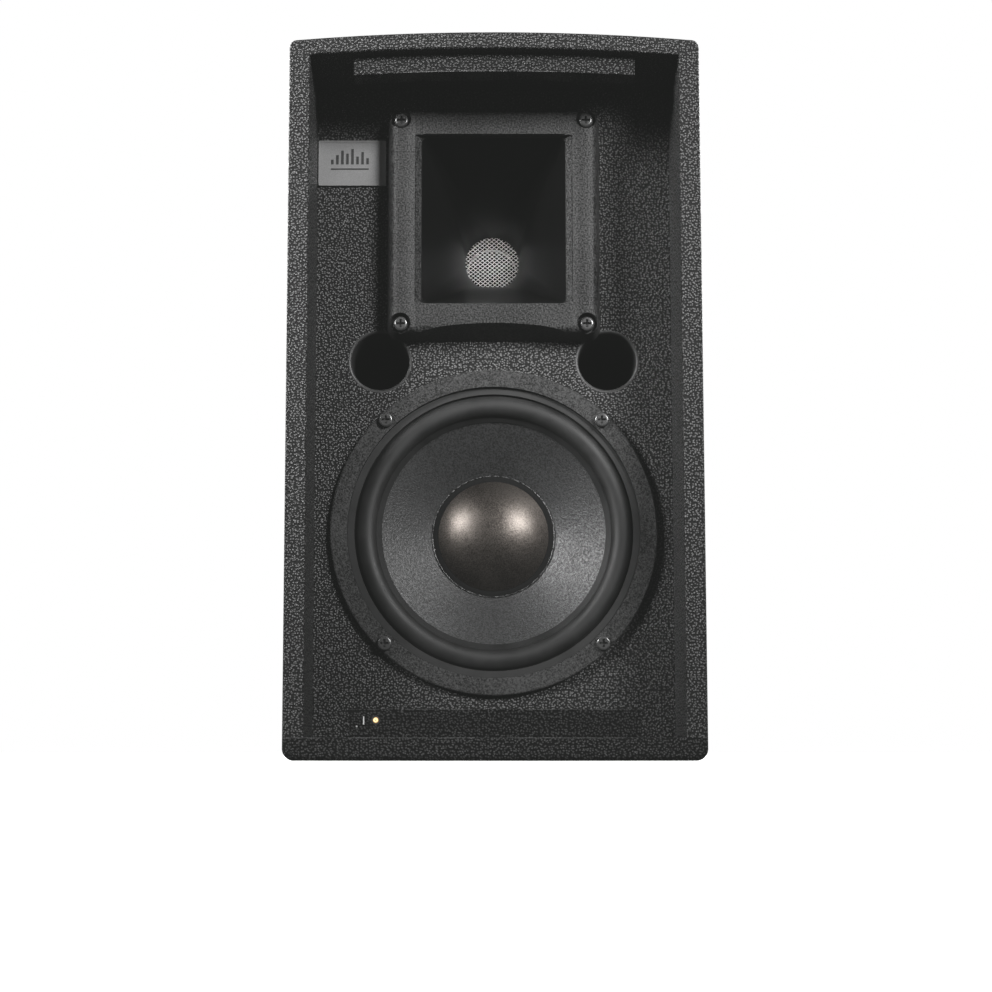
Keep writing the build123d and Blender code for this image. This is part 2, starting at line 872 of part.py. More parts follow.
with BuildPart() as driver_rear_cover:
    add(
        turned(
            horn_z,
            [
                (31.6, gap_plate_back_y),
                (driver_radius - 1, gap_plate_back_y),
                (driver_radius - 1, cover_back_y - 5),
                (driver_radius - 6, cover_back_y),
                (0, cover_back_y),
                (0, cover_back_y - 3),
                (driver_radius - 8, cover_back_y - 3),
                (driver_radius - 5, cover_back_y - 7),
                (driver_radius - 5, 47),
                (31.6, 47),
            ],
        ).part
    )
keep(driver_rear_cover, "driver_rear_cover")

bolt_seat = facing_front(throat_y - horn_flange_depth)
keep(screw_set(bolt_seat, driver_bolts_at, 4.2, 3.5, driver_bolt_shank, 12), "driver_bolts")


# ---------------------------------------------------------------- amplifier plate

body_depth = 21
plug_bore_radius = 9.7


def socket_flange_sketch():
    """Outline of a panel socket's flange, centred on the sketch's current location."""
    RectangleRounded(socket_flange_width, socket_flange_height, 2)


inlet_body = (27, 36)
switch_body = (13, 19.4)
bushing_radius = 3.6
standoffs_at = [(x, z) for x in (-60, 60) for z in (sink_bottom + 6, sink_top - 6)]

with BuildPart() as amp_panel:
    with BuildSketch(facing_front(plate_y)):
        with Locations((0, plate_middle_z)):
            Rectangle(2 * plate_half_width, plate_top - plate_bottom)
        with Locations((input_x, socket_z), (link_x, socket_z)):
            Circle(socket_body_radius, mode=Mode.SUBTRACT)
        with Locations((input_x, socket_z + (latch_bottom + latch_top) / 2)):
            Rectangle(
                2 * (latch_half_width + latch_gap),
                latch_top - latch_bottom + 2 * latch_gap,
                mode=Mode.SUBTRACT,
            )
        with Locations((knob_x, socket_z)):
            Circle(bushing_radius, mode=Mode.SUBTRACT)
        with Locations((inlet_x, mains_z)):
            Rectangle(*inlet_body, mode=Mode.SUBTRACT)
        with Locations((switch_x, mains_z)):
            Rectangle(*switch_body, mode=Mode.SUBTRACT)
        with Locations(*plate_screws_at):
            Circle(plate_screw_radius, mode=Mode.SUBTRACT)
    extrude(amount=plate_thickness)
    with BuildSketch(facing_front(plate_y - plate_thickness)):
        with Locations(*standoffs_at):
            Circle(2.5)
    extrude(amount=plate_y - plate_thickness - board_y - 1.6)
keep(amp_panel, "amp_panel")

facing_back = Plane(origin=(0, plate_y, 0), x_dir=(-1, 0, 0), z_dir=(0, 1, 0))
mirrored_screws = [(-x, z) for x, z in plate_screws_at]
keep(screw_set(facing_back, mirrored_screws, 4, 2.6, plate_screw_radius, 8.5), "amp_panel_screws")

fin_count = 15
fin_thickness = 1.6
sink_base = 2
fin_height = 6.5
fin_pitch = (2 * sink_half_width - fin_thickness) / (fin_count - 1)
with BuildPart() as amp_heatsink:
    with BuildSketch(Plane.XY.offset(sink_bottom)):
        with Locations((0, plate_y + sink_base / 2)):
            Rectangle(2 * sink_half_width, sink_base)
        with Locations((0, plate_y + sink_base + fin_height / 2)):
            with GridLocations(fin_pitch, 0, fin_count, 1):
                Rectangle(fin_thickness, fin_height)
    extrude(amount=sink_top - sink_bottom)
keep(amp_heatsink, "amp_heatsink")

with BuildPart() as amp_circuit_board:
    with BuildSketch(facing_front(board_y + 1.6)):
        with Locations((0, (sink_bottom + sink_top) / 2)):
            Rectangle(2 * sink_half_width - 4, sink_top - sink_bottom - 2)
    extrude(amount=1.6)
keep(amp_circuit_board, "amp_circuit_board")

with BuildPart() as amp_capacitors:
    with BuildSketch(facing_front(board_y)):
        with Locations((-40, 185), (-12, 185)):
            Circle(11)
    extrude(amount=25)
    fillet(amp_capacitors.edges().group_by(Axis.Y)[0], 1.2)
keep(amp_capacitors, "amp_capacitors")

with BuildPart() as power_transformer:
    with BuildSketch(Plane.XZ.offset(-66)):
        with Locations((55 + 25, floor_z + 18)):
            RectangleRounded(26, 36, 7)
    revolve(axis=Axis((55, 66, 0), (0, 0, 1)))
keep(power_transformer, "power_transformer")


# ---------------------------------------------------------------- sockets on the plate

flange_y = plate_y + socket_flange_thickness

with BuildPart() as input_socket:
    with BuildSketch(facing_front(plate_y)):
        with Locations((input_x, socket_z)):
            socket_flange_sketch()
    extrude(amount=-socket_flange_thickness)
    fillet(input_socket.edges().group_by(Axis.Y)[-1], 0.8)
    with BuildSketch(facing_front(plate_y)):
        with Locations((input_x, socket_z)):
            Circle(socket_body_radius)
    extrude(amount=body_depth)
    with BuildSketch(facing_front(flange_y)):
        with Locations((input_x, socket_z)):
            Circle(plug_bore_radius)
    extrude(amount=body_depth - 1, mode=Mode.SUBTRACT)
    with BuildSketch(facing_front(flange_y)):
        with Locations((input_x, socket_z + (latch_bottom + latch_top) / 2)):
            Rectangle(2 * (latch_half_width + latch_gap), latch_top - latch_bottom + 2 * latch_gap)
    extrude(amount=14, mode=Mode.SUBTRACT)
keep(input_socket, "input_socket")

with BuildPart() as input_contacts_block:
    with BuildSketch(facing_front(flange_y - body_depth + 1)):
        with Locations((input_x, socket_z)):
            Circle(7.9)
    extrude(amount=-(body_depth - 3))
    with BuildSketch(facing_front(flange_y)):
        with Locations(*circle_positions(4.2, (30, 150, 270), (input_x, socket_z))):
            Circle(1.3)
    extrude(amount=14, mode=Mode.SUBTRACT)
keep(input_contacts_block, "input_contacts_block")

with BuildPart() as input_latch_button:
    with BuildSketch(facing_front(flange_y + 1.6)):
        with Locations((input_x, socket_z + (latch_bottom + latch_top) / 2)):
            RectangleRounded(2 * latch_half_width, latch_top - latch_bottom, 0.8)
    extrude(amount=8)
    fillet(input_latch_button.edges().group_by(Axis.Y)[-1], 0.6)
keep(input_latch_button, "input_latch_button")

with BuildPart() as link_socket:
    with BuildSketch(facing_front(plate_y)):
        with Locations((link_x, socket_z)):
            socket_flange_sketch()
    extrude(amount=-socket_flange_thickness)
    fillet(link_socket.edges().group_by(Axis.Y)[-1], 0.8)
    with BuildSketch(facing_front(plate_y)):
        with Locations((link_x, socket_z)):
            Circle(socket_body_radius)
    extrude(amount=body_depth)
    with BuildSketch(facing_front(flange_y)):
        with Locations((link_x, socket_z)):
            Circle(plug_bore_radius)
    extrude(amount=body_depth - 3, mode=Mode.SUBTRACT)
    with BuildSketch(facing_front(flange_y - body_depth + 3)):
        with Locations(*circle_positions(4.2, (30, 150, 270), (link_x, socket_z))):
            Circle(1.2)
    extrude(amount=-12)
keep(link_socket, "link_socket")

pot_body_y = plate_y - plate_thickness
with BuildPart() as level_pot:
    with BuildSketch(facing_front(pot_body_y)):
        with Locations((knob_x, socket_z)):
            Circle(8.5)
    extrude(amount=10)
    with BuildSketch(facing_front(plate_y + 0.8)):
        with Locations((knob_x, socket_z)):
            Circle(bushing_radius)
    extrude(amount=plate_thickness + 1.8)
    with BuildSketch(facing_front(plate_y + 0.8)):
        with Locations((knob_x, socket_z)):
            Circle(3.05)
    extrude(amount=9, mode=Mode.SUBTRACT)
keep(level_pot, "level_pot")

knob_front_y = 125.5
knob_back_y = plate_y + 1.4
with BuildPart() as level_knob:
    with BuildSketch(facing_front(knob_front_y)):
        with Locations((knob_x, socket_z)):
            Circle(10)
            with PolarLocations(10.2, 16):
                Circle(0.9, mode=Mode.SUBTRACT)
    extrude(amount=knob_front_y - knob_back_y)
    with BuildSketch(facing_front(knob_front_y)):
        with Locations((knob_x, socket_z + 6.2)):
            Rectangle(1.2, 6)
    extrude(amount=0.6, mode=Mode.SUBTRACT)
    with BuildSketch(facing_front(knob_back_y)):
        with Locations((knob_x, socket_z)):
            Circle(3)
    extrude(amount=8)
keep(level_knob, "level_knob")

rocker_half_width = 4.6
rocker_half_height = 7.6
rocker_pivot_y = 112
with BuildPart() as power_switch_housing:
    with BuildSketch(facing_front(plate_y)):
        with Locations((switch_x, mains_z)):
            RectangleRounded(16, 22.4, 1.2)
    extrude(amount=-1.8)
    with BuildSketch(facing_front(plate_y)):
        with Locations((switch_x, mains_z)):
            Rectangle(*switch_body)
    extrude(amount=18)
    with BuildSketch(facing_front(plate_y + 1.8)):
        with Locations((switch_x, mains_z)):
            Rectangle(2 * rocker_half_width + 0.8, 2 * rocker_half_height + 2.2)
    extrude(amount=13, mode=Mode.SUBTRACT)
keep(power_switch_housing, "power_switch_housing")

tilt = math.radians(rocker_tilt)
rocker_plane = Plane(
    origin=(switch_x - rocker_half_width, rocker_pivot_y, mains_z),
    x_dir=(0, math.cos(tilt), math.sin(tilt)),
    z_dir=(1, 0, 0),
)
with BuildPart() as power_rocker:
    with BuildSketch(rocker_plane):
        with BuildLine():
            Polyline(
                (-4, -rocker_half_height + 1),
                (7.6, -rocker_half_height),
                (6.6, 0),
                (7.6, rocker_half_height),
                (-4, rocker_half_height - 1),
                close=True,
            )
        make_face()
    extrude(amount=2 * rocker_half_width)
keep(power_rocker, "power_rocker")

plug_mouth_z = mains_z + 6
fuse_z = mains_z - 12
with BuildPart() as mains_inlet:
    with BuildSketch(facing_front(plate_y)):
        with Locations((inlet_x, mains_z)):
            RectangleRounded(31, 40, 2)
    extrude(amount=-2)
    with BuildSketch(facing_front(plate_y)):
        with Locations((inlet_x, mains_z)):
            Rectangle(*inlet_body)
    extrude(amount=24)
    with BuildSketch(facing_front(plate_y + 2)):
        with Locations((inlet_x, plug_mouth_z)):
            Rectangle(24, 17)
        with Locations((inlet_x - 12, plug_mouth_z + 8.5), (inlet_x + 12, plug_mouth_z + 8.5)):
            RegularPolygon(4, 4, mode=Mode.SUBTRACT)
    extrude(amount=18, mode=Mode.SUBTRACT)
    with BuildSketch(facing_front(plate_y - 16)):
        with Locations((inlet_x - 7, plug_mouth_z + 3), (inlet_x + 7, plug_mouth_z + 3)):
            Rectangle(2, 4)
        with Locations((inlet_x, plug_mouth_z - 1)):
            Rectangle(2, 4)
    extrude(amount=-14)
    with BuildSketch(facing_front(plate_y + 2)):
        with Locations((inlet_x, fuse_z)):
            Rectangle(18, 8)
    extrude(amount=23, mode=Mode.SUBTRACT)
keep(mains_inlet, "mains_inlet")

with BuildPart() as fuse_drawer:
    with BuildSketch(facing_front(plate_y + 2.6)):
        with Locations((inlet_x, fuse_z)):
            RectangleRounded(17.2, 7.2, 0.8)
    extrude(amount=21)
    with BuildSketch(facing_front(plate_y + 2.6)):
        with Locations((inlet_x, fuse_z)):
            Rectangle(8, 3)
    extrude(amount=1.4, mode=Mode.SUBTRACT)
keep(fuse_drawer, "fuse_drawer")


# ---------------------------------------------------------------- internal leads


lead_radius = 2


def lead(route, start_direction):
    """Round lead along a smooth curve through the route, ending square on the circuit board."""
    with BuildPart() as cable:
        with BuildLine() as path:
            Spline(*route, tangents=[start_direction, (0, 1, 0)])
        with BuildSketch(Plane(origin=path.line @ 0, z_dir=path.line % 0)):
            Circle(lead_radius)
        sweep()
    return cable


keep(
    lead(
        [(68.5, -16, woofer_z + 7), (80, 0, 148), (84, 40, 150), (66, 82, 158), (58, board_y, 160)],
        (1, 0, 0),
    ),
    "woofer_lead",
)
keep(
    lead(
        [(20, cover_back_y, 322), (20, 84, 310), (24, 88, 262), (24, 84, 225), (24, board_y, 205)],
        (0, 1, 0),
    ),
    "driver_lead",
)
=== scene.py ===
"""Looks, light and camera for a compact two-way stage loudspeaker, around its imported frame."""

import json
import math
import random

import bpy
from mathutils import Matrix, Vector


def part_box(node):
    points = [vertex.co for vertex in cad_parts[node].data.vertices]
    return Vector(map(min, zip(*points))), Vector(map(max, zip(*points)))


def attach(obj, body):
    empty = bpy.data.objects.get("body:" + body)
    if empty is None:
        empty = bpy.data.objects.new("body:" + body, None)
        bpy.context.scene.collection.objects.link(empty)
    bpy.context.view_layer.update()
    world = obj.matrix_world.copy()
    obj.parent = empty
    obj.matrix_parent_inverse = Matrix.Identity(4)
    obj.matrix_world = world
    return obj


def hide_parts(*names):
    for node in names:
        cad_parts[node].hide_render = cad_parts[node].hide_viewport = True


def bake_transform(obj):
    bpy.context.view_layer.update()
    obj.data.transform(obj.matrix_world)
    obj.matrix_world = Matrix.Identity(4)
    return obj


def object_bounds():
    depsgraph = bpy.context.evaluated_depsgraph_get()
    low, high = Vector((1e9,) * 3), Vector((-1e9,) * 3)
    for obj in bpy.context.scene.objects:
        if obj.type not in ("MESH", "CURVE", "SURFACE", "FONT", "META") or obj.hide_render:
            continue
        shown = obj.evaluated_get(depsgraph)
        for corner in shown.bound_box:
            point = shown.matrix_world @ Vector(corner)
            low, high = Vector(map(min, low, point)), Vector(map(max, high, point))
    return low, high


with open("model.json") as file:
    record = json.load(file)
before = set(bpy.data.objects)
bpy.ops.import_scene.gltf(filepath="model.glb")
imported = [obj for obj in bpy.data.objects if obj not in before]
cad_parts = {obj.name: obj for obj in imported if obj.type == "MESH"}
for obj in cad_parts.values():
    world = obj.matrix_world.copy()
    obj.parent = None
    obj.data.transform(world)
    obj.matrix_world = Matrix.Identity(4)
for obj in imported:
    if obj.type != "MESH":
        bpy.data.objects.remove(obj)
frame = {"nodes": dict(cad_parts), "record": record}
cad_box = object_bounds()
nodes = frame["nodes"]
MM = 0.001


def centre_of(node):
    low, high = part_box(node)
    return (low + high) / 2


def grey(value):
    return (value, value, value)


def into_scene(thing):
    bpy.context.scene.collection.objects.link(thing)
    return thing


# ------------------------------------------------------------------ camera, floor and light

def make_camera():
    """A view from just above the floor, tilted up, with its frame shifted upwards."""
    tilt = 5.59
    data = bpy.data.cameras.new("camera")
    data.sensor_width = 36
    data.lens = 60.25
    data.shift_x = 0.0216
    data.shift_y = 0.0944
    data.clip_start = 0.01
    camera = into_scene(bpy.data.objects.new("camera", data))
    camera.location = (-0.012, -1.089, 0.005)
    camera.rotation_euler = (math.radians(90 + tilt), 0, 0)
    bpy.context.scene.camera = camera


def add_light(name, kind, place, aim, **settings):
    """A light at a place, turned towards aim."""
    data = bpy.data.lights.new(name, kind)
    for key, value in settings.items():
        setattr(data, key, value)
    light = into_scene(bpy.data.objects.new(name, data))
    light.location = place
    light.rotation_euler = (aim - place).to_track_quat("-Z", "Y").to_euler()


def softbox(name, azimuth, elevation, distance, size, power, spread=180):
    """Rectangular light aimed two thirds up; azimuth 0 is in front, positive to the right."""
    aim = Vector((0, 0, 0.66 * cad_box[1][2]))
    turn, rise = math.radians(azimuth), math.radians(elevation)
    level = distance * math.cos(rise)
    offset = Vector((level * math.sin(turn), -level * math.cos(turn), distance * math.sin(rise)))
    add_light(name, "AREA", aim + offset, aim, shape="RECTANGLE", size=size[0], size_y=size[1],
              energy=power, spread=math.radians(spread))


def make_lights():
    """Softboxes in front with narrow beams, two larger ones behind, and a spot on the throat."""
    softbox("key_left", -50, 20, 1.5, (0.55, 0.5), 1.8, 31)
    softbox("key_right", 34, 20, 1.5, (0.55, 0.5), 1.6, 31)
    softbox("back_left", -140, 30, 1.8, (0.9, 0.9), 34)
    softbox("back_right", 140, 30, 1.8, (0.9, 0.9), 34)
    add_light("throat_spot", "SPOT", Vector((0.06, -1.3, 0.5)), centre_of("throat_screen"),
              energy=150, spot_size=math.radians(1.55), spot_blend=0.5, shadow_soft_size=0.02)


def make_backdrop():
    """A dim room that the camera sees as white, with the picture's blacks lifted a little."""
    room_light, seen_light = 0.06, 1.0
    view = bpy.context.scene.view_settings
    view.view_transform = "Standard"
    view.use_curve_mapping = True
    view.curve_mapping.black_level = (-0.012, -0.0125, -0.012)
    view.curve_mapping.update()

    world = bpy.data.worlds.new("studio")
    world.use_nodes = True
    tree = world.node_tree
    tree.nodes.clear()
    mix = tree.nodes.new("ShaderNodeMixShader")
    for slot, strength in ((1, room_light), (2, seen_light)):
        glow = tree.nodes.new("ShaderNodeBackground")
        glow.inputs["Color"].default_value = (1, 1, 1, 1)
        glow.inputs["Strength"].default_value = strength
        tree.links.new(glow.outputs[0], mix.inputs[slot])
    path = tree.nodes.new("ShaderNodeLightPath")
    tree.links.new(path.outputs["Is Camera Ray"], mix.inputs["Fac"])
    out = tree.nodes.new("ShaderNodeOutputWorld")
    tree.links.new(mix.outputs[0], out.inputs["Surface"])
    bpy.context.scene.world = world


def make_floor():
    """A pale floor that glows a little more with distance, so that it fades into the backdrop."""
    reach = 12
    mesh = bpy.data.meshes.new("studio_floor")
    corners = [(-reach, -reach, 0), (reach, -reach, 0), (reach, reach, 0), (-reach, reach, 0)]
    mesh.from_pydata(corners, [], [(0, 1, 2, 3)])
    floor = into_scene(bpy.data.objects.new("studio_floor", mesh))
    floor.visible_diffuse = False
    floor.visible_glossy = False
    paint = Paint("pale_floor", grey(0.86), 0.7)
    paint.colour(paint.ramp(paint.noise(3.0, 3), [(0.3, grey(0.82)), (0.7, grey(0.88))]))
    paint.shader.inputs["Emission Color"].default_value = (1, 1, 1, 1)
    away = paint.new("ShaderNodeVectorMath", operation="LENGTH")
    paint.link(paint.place, away.inputs[0])
    glow = paint.remap(away.outputs["Value"], 0.3, 4.0, 0.6, 1.0)
    paint.link(glow, paint.shader.inputs["Emission Strength"])
    mesh.materials.append(paint.material)


# ------------------------------------------------------------------ procedural materials

class Paint:
    """A Principled material, built from object coordinates in metres."""

    def __init__(self, name, base, roughness, metallic=0.0, specular=0.5):
        self.material = bpy.data.materials.new(name)
        self.material.use_nodes = True
        self.tree = self.material.node_tree
        self.shader = self.tree.nodes["Principled BSDF"]
        self.shader.inputs["Base Color"].default_value = (*base, 1)
        self.shader.inputs["Roughness"].default_value = roughness
        self.shader.inputs["Metallic"].default_value = metallic
        self.shader.inputs["Specular IOR Level"].default_value = specular
        self.place = self.new("ShaderNodeTexCoord").outputs["Object"]
        self.normal = None

    def new(self, kind, **settings):
        node = self.tree.nodes.new(kind)
        for key, value in settings.items():
            setattr(node, key, value)
        return node

    def link(self, source, target):
        self.tree.links.new(source, target)

    def set(self, node, name, value):
        """Give a node's input a link or a plain value."""
        if isinstance(value, bpy.types.NodeSocket):
            self.link(value, node.inputs[name])
        else:
            node.inputs[name].default_value = value

    def axes(self, vector=None):
        """X, Y and Z of a vector, or of the place on the object."""
        node = self.new("ShaderNodeSeparateXYZ")
        self.link(vector or self.place, node.inputs[0])
        return node.outputs

    def noise(self, scale, detail=2.0, roughness=0.5, distortion=0.0, place=None):
        node = self.new("ShaderNodeTexNoise")
        self.link(place or self.place, node.inputs["Vector"])
        node.inputs["Scale"].default_value = scale
        node.inputs["Detail"].default_value = detail
        node.inputs["Roughness"].default_value = roughness
        node.inputs["Distortion"].default_value = distortion
        return node.outputs["Fac"]

    def cells(self, scale, feature="F1"):
        node = self.new("ShaderNodeTexVoronoi", feature=feature)
        self.link(self.place, node.inputs["Vector"])
        node.inputs["Scale"].default_value = scale
        return node.outputs["Distance"]

    def bands(self, direction, pitch):
        """Soft bands across an axis, one to each pitch in millimetres."""
        band_at_scale_one = 0.31  # metres
        node = self.new("ShaderNodeTexWave", wave_type="BANDS", bands_direction=direction)
        self.link(self.place, node.inputs["Vector"])
        node.inputs["Scale"].default_value = band_at_scale_one / (pitch * MM)
        return node.outputs["Fac"]

    def math(self, operation, first, second=0.0, third=None):
        node = self.new("ShaderNodeMath", operation=operation)
        for slot, value in enumerate((first, second, third)):
            if value is not None:
                self.set(node, slot, value)
        return node.outputs[0]

    def plus(self, first, second, share=1.0):
        """The first value and a share of the second."""
        return self.math("ADD", first, self.math("MULTIPLY", second, share))

    def mixed(self, first, second, share):
        """A mean of two values, where share is the weight of the second."""
        return self.plus(self.math("MULTIPLY", first, 1 - share), second, share)

    def within(self, value, middle, half):
        """1 where a value is nearer to the middle than half, and 0 elsewhere."""
        off = self.math("ABSOLUTE", self.math("SUBTRACT", value, middle))
        return self.math("LESS_THAN", off, half)

    def radius(self, axis_x, axis_z):
        """Distance from the line along Y through a point."""
        spot = self.axes()
        squares = []
        for axis, centre in (("X", axis_x), ("Z", axis_z)):
            off = self.math("SUBTRACT", spot[axis], centre)
            squares.append(self.math("MULTIPLY", off, off))
        return self.math("SQRT", self.math("ADD", *squares))

    def remap(self, value, low, high, to_low, to_high):
        node = self.new("ShaderNodeMapRange")
        names = ("Value", "From Min", "From Max", "To Min", "To Max")
        for name, number in zip(names, (value, low, high, to_low, to_high)):
            self.set(node, name, number)
        return node.outputs["Result"]

    def ramp(self, value, stops):
        """Colours along a value, from (position, colour) stops."""
        node = self.new("ShaderNodeValToRGB")
        self.link(value, node.inputs["Fac"])
        elements = node.color_ramp.elements
        while len(elements) < len(stops):
            elements.new(0.5)
        for element, (position, colour) in zip(elements, stops):
            element.position = position
            element.color = (*colour, 1)
        return node.outputs["Color"]

    def choose(self, factor, first, second):
        """The first colour where the factor is 0, the second where it is 1."""
        first_colour, second_colour = 6, 7
        mix = self.new("ShaderNodeMix", data_type="RGBA")
        self.link(factor, mix.inputs["Factor"])
        self.set(mix, first_colour, first)
        self.set(mix, second_colour, second)
        return mix.outputs[2]

    def colour(self, socket):
        self.link(socket, self.shader.inputs["Base Color"])

    def rough(self, socket):
        self.link(socket, self.shader.inputs["Roughness"])

    def bump(self, height, distance):
        """Add a layer of bump; distance is the height in millimetres."""
        node = self.new("ShaderNodeBump")
        node.inputs["Strength"].default_value = 1.0
        node.inputs["Distance"].default_value = distance * MM
        self.link(height, node.inputs["Height"])
        if self.normal is not None:
            self.link(self.normal, node.inputs["Normal"])
        self.normal = node.outputs["Normal"]
        self.link(self.normal, self.shader.inputs["Normal"])


def scaled(colour, factor):
    return tuple(part * factor for part in colour)


def flat_place(paint):
    """Object coordinates laid flat on whichever axis plane the surface faces most."""
    square_on = 0.7
    facing = paint.axes(paint.new("ShaderNodeTexCoord").outputs["Normal"])
    spot = paint.axes()
    joined_up = paint.new("ShaderNodeCombineXYZ")
    for slot, axis in enumerate(("X", "Z")):
        steep = paint.math("GREATER_THAN", paint.math("ABSOLUTE", facing[axis]), square_on)
        straight = paint.math("MULTIPLY", spot[axis], paint.math("SUBTRACT", 1.0, steep))
        across = paint.math("MULTIPLY_ADD", spot["Y"], steep, straight)
        paint.link(across, joined_up.inputs[slot])
    return joined_up.outputs[0]


def pebble_coating(name, base, shine=0.32, glint_edge_z=None):
    """Sprayed coating of rounded glossy pebbles, with a painted highlight on each crest and painted
    shade in the net between them.

    The last argument is the height of an edge along which a painted highlight runs in patches."""
    pebble = 1.6 * MM
    glint_half_width = 0.35 * MM
    paint = Paint(name, grey(base), 0.4, 0.0, shine)
    node = paint.new("ShaderNodeTexVoronoi", feature="F1", voronoi_dimensions="2D")
    paint.link(flat_place(paint), node.inputs["Vector"])
    node.inputs["Scale"].default_value = 1 / pebble
    node.inputs["Randomness"].default_value = 0.85
    spread = paint.math("MINIMUM", paint.math("MULTIPLY", node.outputs["Distance"], 1.7), 1.0)
    dome = paint.math("SUBTRACT", 1.0, paint.math("MULTIPLY", spread, spread))
    paint.bump(paint.plus(dome, paint.noise(2600, 2, 0.6), 0.2), 0.5)
    drift = paint.remap(paint.noise(700, 3, 0.7), 0.3, 0.7, -0.28, 0.28)
    tone = paint.math("ADD", dome, drift)
    # A narrow band at that height is painted lighter in patches, as the highlight on a rounded
    # edge.
    if glint_edge_z is not None:
        near = paint.within(paint.axes()["Z"], glint_edge_z, glint_half_width)
        edge_glint = paint.remap(paint.noise(45, 3, 0.6), 0.42, 0.6, 0.0, 0.9)
        tone = paint.plus(tone, near, edge_glint)
    # The crests are painted lighter, as the highlight of the lights on each pebble, and the net
    # between pebbles is painted near black, as shade.
    stops = [(0.35, grey(base * 0.08)), (0.7, grey(base * 0.6)), (1.0, grey(base * 3.4))]
    paint.colour(paint.ramp(tone, stops))
    paint.rough(paint.remap(tone, 0.3, 1.0, 0.8, 0.36))
    return paint.material


def grained(name, base, roughness, grain=0.45, depth=0.08, metallic=0.0, tint=(1, 1, 1),
            blotch=0.25, shine=0.5):
    """Fine-grained moulding, casting or powder coat.

    grain is the size of a grain and depth its height, in millimetres, and blotch is how far
    the colour drifts from its mean."""
    colour = scaled(tint, base)
    paint = Paint(name, colour, roughness, metallic, shine)
    fine = paint.noise(1 / (grain * MM))
    paint.bump(paint.plus(fine, paint.cells(0.7 / (grain * MM)), 0.5), depth)
    wide = paint.noise(18, 4, 0.55)
    stops = [(0.38, scaled(colour, 1 - blotch)), (0.62, scaled(colour, 1 + blotch))]
    paint.colour(paint.ramp(paint.mixed(wide, fine, 0.7), stops))
    roughest = min(1.0, roughness * 1.15)
    paint.rough(paint.remap(wide, 0.3, 0.7, roughness * 0.85, roughest))
    return paint.material


def horn_moulding():
    """Fine-grained moulding outside, smoother and near black inside the mouth, where the black is
    partly painted shade, with crowned side bars.
    """
    bar_middle, bar_half, bar_crown = 57.2 * MM, 8.4 * MM, 1.7
    mouth_half_width, mouth_half_height = 46.7 * MM, 54.6 * MM
    mouth_z, mouth_y = 336.8 * MM, -76.7 * MM
    paint = Paint("horn_plastic", grey(0.03), 0.45, 0.0, 0.2)
    spot = paint.axes()
    inside = paint.math("GREATER_THAN", spot["Y"], mouth_y)
    for axis, middle, half in (("X", 0.0, mouth_half_width), ("Z", mouth_z, mouth_half_height)):
        inside = paint.math("MULTIPLY", inside, paint.within(spot[axis], middle, half))
    outside = paint.math("SUBTRACT", 1.0, inside)

    bar = paint.math("SUBTRACT", paint.math("ABSOLUTE", spot["X"]), bar_middle)
    bar = paint.math("DIVIDE", bar, bar_half)
    crown = paint.math("MULTIPLY", paint.math("MULTIPLY", bar, bar), -1.0)
    paint.bump(paint.math("MULTIPLY", paint.math("MAXIMUM", crown, -1.0), outside), bar_crown)
    fine = paint.noise(950, 1.5)
    grain = paint.plus(fine, paint.cells(700), 0.5)
    paint.bump(paint.math("MULTIPLY", grain, outside), 0.3)

    wide = paint.noise(20, 4, 0.55)
    skin = paint.ramp(paint.mixed(fine, wide, 0.2), [(0.4, grey(0.001)), (0.62, grey(0.042))])
    # Inside the mouth the colour is near black: partly a smoother black bore, partly painted shade
    # of the deep horn.
    shaded_bore = paint.ramp(wide, [(0.3, grey(0.0012)), (0.7, grey(0.0022))])
    paint.colour(paint.choose(inside, skin, shaded_bore))
    paint.rough(paint.math("SUBTRACT", 0.5, paint.math("MULTIPLY", inside, 0.1)))
    return paint.material


def turned_metal(name, colour):
    """Metal with faint machining and small stains."""
    paint = Paint(name, colour, 0.3, 1.0)
    paint.bump(paint.noise(2000), 0.02)
    stains = paint.noise(120, 4, 0.6)
    paint.colour(paint.ramp(stains, [(0.35, scaled(colour, 0.7)), (0.65, colour)]))
    paint.rough(paint.remap(stains, 0.3, 0.7, 0.24, 0.39))
    return paint.material


def cone_paper():
    """Coated pressed paper: felted fibres under a thin satin skin."""
    paint = Paint("cone_paper", grey(0.014), 0.44, 0.0, 0.62)
    fibres = paint.noise(900, 1.5, 0.5, 0.6)
    paint.bump(paint.plus(fibres, paint.cells(1900), 0.3), 0.22)
    tone = paint.mixed(fibres, paint.noise(30, 3), 0.15)
    paint.colour(paint.ramp(tone, [(0.4, grey(0.001)), (0.62, (0.034, 0.0343, 0.035))]))
    paint.rough(paint.remap(fibres, 0.35, 0.65, 0.6, 0.38))
    return paint.material


